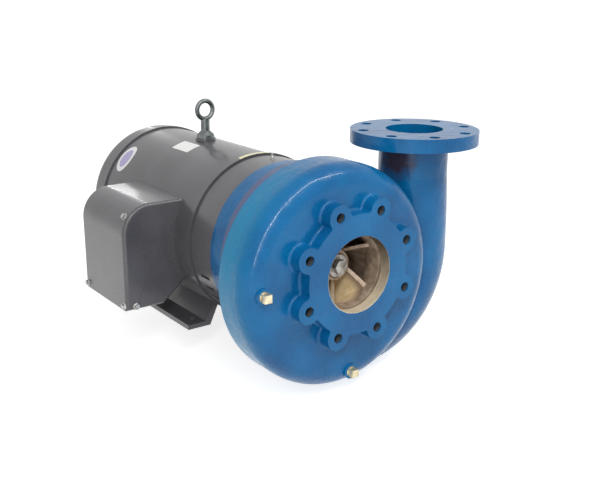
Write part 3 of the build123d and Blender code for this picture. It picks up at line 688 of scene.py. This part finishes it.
def grease_nipple():
    outline = (
        (0, 0.0020), (0.0024, 0.0028), (0.0024, 0.0040), (0.0016, 0.0050), (0.0015, 0.0060),
        (0.0024, 0.0070), (0.0024, 0.0078), (0.0014, 0.0088), (0.0006, 0.0090), (0, 0.0086),
    )
    mesh = turned(outline, 24)
    bmesh.ops.create_cone(
        mesh, cap_ends=True, segments=6, radius1=NUT_RADIUS, radius2=NUT_RADIUS * 0.95,
        depth=NUT_HEIGHT, matrix=Matrix.Translation((0, 0, NUT_HEIGHT / 2)),
    )
    foot = (fitting_low + fitting_high) / 2
    foot.z = fitting_low.z
    bmesh.ops.scale(mesh, verts=mesh.verts, vec=(0.9, 0.9, FITTING_SCALE))
    bmesh.ops.translate(mesh, verts=mesh.verts, vec=foot)
    return mesh


nipple = hand_in("grease_nipple", grease_nipple(), SCREW_STEEL)
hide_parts("grease_fitting")

# %% [markdown]
# The feet are welded to the barrel. A weld bead is a row of small frozen ripples. Noise
# would make it lumpy without order, so the bead is a round bar whose rings swell and
# shrink by turns, a little and evenly, along its length.

# %% Weld beads along the feet
BEAD_RADIUS = 0.0034
BEAD_RINGS = 84
RIPPLE = 0.10
BEAD_INSET = 0.003
BEAD_SPREAD = 0.091
FOOT_LOW, FOOT_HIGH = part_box("motor_feet")
BEAD_ANGLE = math.asin(BEAD_SPREAD / BARREL_RADIUS)


def weld_bead():
    mesh = bmesh.new()
    ring = bmesh.ops.create_circle(mesh, cap_ends=True, segments=8, radius=BEAD_RADIUS)["verts"]
    length = FOOT_HIGH.y - FOOT_LOW.y - 2 * BEAD_INSET
    face = ring[0].link_faces[0]
    for count in range(BEAD_RINGS):
        raised = bmesh.ops.extrude_face_region(mesh, geom=[face])["geom"]
        face = next(item for item in raised if isinstance(item, bmesh.types.BMFace))
        bmesh.ops.translate(mesh, verts=face.verts, vec=(0, 0, length / BEAD_RINGS))
        swell = 1 + RIPPLE * (1 if count % 2 else -1) + 0.04 * math.sin(count * 1.7)
        middle = face.calc_center_median()
        for corner in face.verts:
            reach = (corner.co - middle).normalized()
            corner.co = middle + reach * BEAD_RADIUS * swell
    return mesh


def bead_places():
    for side in (-1, 1):
        x = side * BARREL_RADIUS * math.sin(BEAD_ANGLE)
        z = SHAFT_Z - BARREL_RADIUS * math.cos(BEAD_ANGLE)
        yield facing((x, FOOT_LOW.y + BEAD_INSET, z), (0, 1, 0))


welds = copies(weld_bead(), bead_places())
hand_in("foot_welds", welds, GREY_ENAMEL, smooth_angle=60)

# %% [markdown]
# Between the drive-end shield and the barrel lies a grey sealing ring, a little below
# the enamel around it. A dark line in the enamel could stand for it, but a ring that
# lies deeper draws its own shadow. It is turned, with small chamfers on its outer edges.

# %% Sealing ring
SEAL_LENGTH = 0.005
SEAL_DEPTH = 0.0014
SEAL_WALL = 0.0042
SEAL_CHAMFER = 0.0006


def sealing_ring():
    start = BARREL_LOW.y - SEAL_LENGTH
    outer, inner = BARREL_RADIUS - SEAL_DEPTH, BARREL_RADIUS - SEAL_DEPTH - SEAL_WALL
    outline = (
        (inner, 0), (outer - SEAL_CHAMFER, 0), (outer, SEAL_CHAMFER),
        (outer, SEAL_LENGTH - SEAL_CHAMFER), (outer - SEAL_CHAMFER, SEAL_LENGTH),
        (inner, SEAL_LENGTH), (inner, 0),
    )
    mesh = turned(outline, 128)
    bmesh.ops.transform(mesh, matrix=facing((0, start, SHAFT_Z), (0, 1, 0)), verts=mesh.verts)
    return mesh


hand_in("sealing_ring", sealing_ring(), GREY_ENAMEL)

# %% [markdown]
# Three paper labels are stuck to the barrel, and all are blank. A label could be a patch
# of colour in the enamel, but paper has an edge. It is a flat grid that is bent round
# the shaft: its x becomes an arc length and its z a height above the steel. Solidify
# gives the paper its thickness after the bend.

# %% Labels on the barrel
PAPER = 0.0003


def wrapped(mesh, radius, arc_middle, y_middle):
    """Bend a flat mesh round the barrel."""
    for corner in mesh.verts:
        angle = (corner.co.x + arc_middle) / radius
        height = radius + corner.co.z
        x, z = height * math.sin(angle), SHAFT_Z + height * math.cos(angle)
        corner.co = Vector((x, corner.co.y + y_middle, z))
    bmesh.ops.recalc_face_normals(mesh, faces=mesh.faces)
    bmesh.ops.solidify(mesh, geom=mesh.faces[:], thickness=PAPER)
    return mesh


def square_label(across, along, segments=12):
    mesh = bmesh.new()
    bmesh.ops.create_grid(mesh, x_segments=segments, y_segments=segments, size=0.5)
    bmesh.ops.scale(mesh, verts=mesh.verts, vec=(across, along, 1))
    return mesh


def oval_label(across, along, segments=40, rings=6):
    mesh = bmesh.new()
    bmesh.ops.create_circle(mesh, cap_ends=True, cap_tris=True, segments=segments, radius=0.5)
    spokes = [e for e in mesh.edges if not e.is_boundary]
    bmesh.ops.subdivide_edges(mesh, edges=spokes, cuts=rings, use_grid_fill=True)
    bmesh.ops.scale(mesh, verts=mesh.verts, vec=(across, along, 1))
    return mesh


def paper_finish(name, field, middle, inner, size, rim):
    """Coated paper with a plain field inside a plain rim."""
    finish = Finish(name)
    fibres = finish.noise(0.004, 4.0)
    away = finish.node("VectorMath", {"operation": "SUBTRACT"}, {0: finish.place, 1: middle})
    scaled = finish.node("VectorMath", {"operation": "DIVIDE"}, {0: away, 1: size})
    reach = finish.node("VectorMath", {"operation": "LENGTH"}, {0: scaled}, 1)
    plain = finish.blend(finish.range(reach, 0.66, 0.70), inner, rim)
    colour = finish.blend(finish.range(fibres, 0.35, 0.75) * 0.25, plain, field)
    skin = finish.bump(fibres, 0.00008)
    finish.set(base_color=colour, roughness=0.35, coat_weight=0.3, normal=skin)
    return finish


# %% [markdown]
# A pale oblong sits beside the lifting eye, an oval further back, and a yellow strip on
# the front rim. Each row below holds a shape, its size, its turn round the shaft, its
# place along it, the radius that it lies on, and the colours of its field and its rim.

# %% Places of the labels
PAPER_GREY = (0.74, 0.73, 0.72)
LABELS = (
    ("barrel_label", square_label, 0.031, 0.059, -18.6, SUCTION_Y + 0.468, BARREL_RADIUS,
     (0.92, 0.92, 0.90), (0.92, 0.92, 0.90)),
    ("oval_label", oval_label, 0.062, 0.044, -47.0, SUCTION_Y + 0.607, BARREL_RADIUS,
     (0.40, 0.34, 0.62), (0.90, 0.89, 0.90)),
    ("rim_label", square_label, 0.066, 0.009, -3.0, BARREL_LOW.y + 0.006, RIM_RADIUS,
     (0.86, 0.80, 0.42), (0.86, 0.80, 0.42)),
)
for name, shape, across, along, degrees, y, radius, inner, rim in LABELS:
    turn = math.radians(degrees)
    middle = (radius * math.sin(turn), y, SHAFT_Z + radius * math.cos(turn))
    reach = (across / 2, along / 2, across / 2)
    paper = paper_finish("paper_" + name, PAPER_GREY, middle, inner, reach, rim)
    label = wrapped(shape(across, along), radius + 0.0001, turn * radius, y)
    hand_in(name, label, paper)

# %% [markdown]
# A product picture stands on a white sweep under soft lamps. More lamp light would make
# the sweep white, but it would bleach the enamel too. Instead the paper glows a little
# where the camera or a gloss looks at it, which makes the background white, and the rest
# of its brightness is lamp light, so the pump's shadow stays on it.

# %% Studio floor
FLOOR_DROP = 0.0005
FLOOR_SPAN = 24.0
GLOW = 0.74


def light_path(tree):
    """Links of a material or world that are 1 where the camera or a gloss looks."""
    path = tree.nodes.new("ShaderNodeLightPath")
    either = tree.nodes.new("ShaderNodeMath")
    either.operation = "MAXIMUM"
    clear = tree.nodes.new("ShaderNodeMath")
    clear.operation = "MAXIMUM"
    tree.links.new(path.outputs["Is Camera Ray"], either.inputs[0])
    tree.links.new(path.outputs["Is Glossy Ray"], either.inputs[1])
    tree.links.new(either.outputs[0], clear.inputs[0])
    tree.links.new(path.outputs["Is Transmission Ray"], clear.inputs[1])
    return clear.outputs[0]


def white_sweep():
    mesh = bmesh.new()
    bmesh.ops.create_grid(mesh, x_segments=1, y_segments=1, size=FLOOR_SPAN / 2)
    bmesh.ops.translate(mesh, verts=mesh.verts, vec=(0, 0, CAD_LOW[2] - FLOOR_DROP))
    data = bpy.data.meshes.new("floor")
    mesh.to_mesh(data)
    mesh.free()
    floor = bpy.data.objects.new("floor", data)
    bpy.context.scene.collection.objects.link(floor)
    paper = Finish("white_paper")
    seen = Wire(paper, light_path(paper.tree))
    glow = paper.blend(seen * GLOW, (0.0, 0.0, 0.0), (1.0, 1.0, 1.0))
    paper.set(base_color=(0.8, 0.8, 0.8, 1), roughness=0.9, emission_color=glow)
    paper.shader.inputs["Emission Strength"].default_value = 1.0
    floor.data.materials.append(paper.material)
    print("floor at", round(CAD_LOW[2] - FLOOR_DROP, 4))


white_sweep()

# %% [markdown]
# Gloss enamel shows its lamps, so their places matter as much as their power. One large
# lamp would lay a broad veil on the volute. Four strip lamps that stand end to end on a
# bow, from the left to the upper right, draw the bright line along the volute's front
# corner. A small one behind the motor shows in the top of the conduit box.

# %% Lamps
AIM = Vector((0, -0.30, 0.20))
BOW_REACH = 2.4
BOW_WIDTH = 0.13
BOW_LEVELS = (8.0, 12.0, 14.0, 14.0)
BOW = (
    (-0.77, -0.64, 0.05),
    (-0.64, -0.655, 0.40),
    (-0.40, -0.63, 0.67),
    (0.107, -0.50, 0.86),
    (0.58, -0.45, 0.68),
)


def strip_lamp(name, start, end, width, power):
    """A long lamp from one point to another that faces the pump."""
    middle = (start + end) / 2
    along = (end - start).normalized()
    back = (middle - AIM).normalized()
    back = (back - along * back.dot(along)).normalized()
    data = bpy.data.lights.new(name, "AREA")
    data.shape = "RECTANGLE"
    data.size, data.size_y = (end - start).length, width
    data.energy = power
    lamp = bpy.data.objects.new(name, data)
    turn = Matrix((along, back.cross(along), back)).transposed().to_4x4()
    lamp.matrix_world = Matrix.Translation(middle) @ turn
    bpy.context.scene.collection.objects.link(lamp)


bow = [AIM + Vector(way).normalized() * BOW_REACH for way in BOW]
for count, (start, end) in enumerate(zip(bow, bow[1:])):
    strip_lamp(f"bow_lamp_{count}", start, end, BOW_WIDTH, BOW_LEVELS[count])
BACK_START, BACK_END = Vector((0.47, 1.75, 0.72)), Vector((0.64, 1.69, 0.72))
BACK_WIDTH, BACK_LEVEL = 0.06, 0.45
strip_lamp("back_lamp", BACK_START, BACK_END, BACK_WIDTH, BACK_LEVEL)
print("bow lamps", BOW_LEVELS, "back lamp", BACK_LEVEL)

# %% [markdown]
# The world is the white studio room. It lights the pump at a plain, low level from all
# sides, which fills the shadows, while the camera and the gloss see it as full white. An
# image of a real room would light it too, but its patches would show in the enamel.

# %% World
WORLD_LEVEL = 0.40
world = bpy.data.worlds.new("studio")
bpy.context.scene.world = world
world.use_nodes = True
sky = world.node_tree.nodes["Background"]
sky.inputs["Color"].default_value = (1, 1, 1, 1)
level = world.node_tree.nodes.new("ShaderNodeMapRange")
level.inputs["To Min"].default_value = WORLD_LEVEL
level.inputs["To Max"].default_value = 1.0
world.node_tree.links.new(light_path(world.node_tree), level.inputs["Value"])
world.node_tree.links.new(level.outputs["Result"], sky.inputs["Strength"])
bpy.context.scene.view_settings.view_transform = "Standard"
print("world level", WORLD_LEVEL)
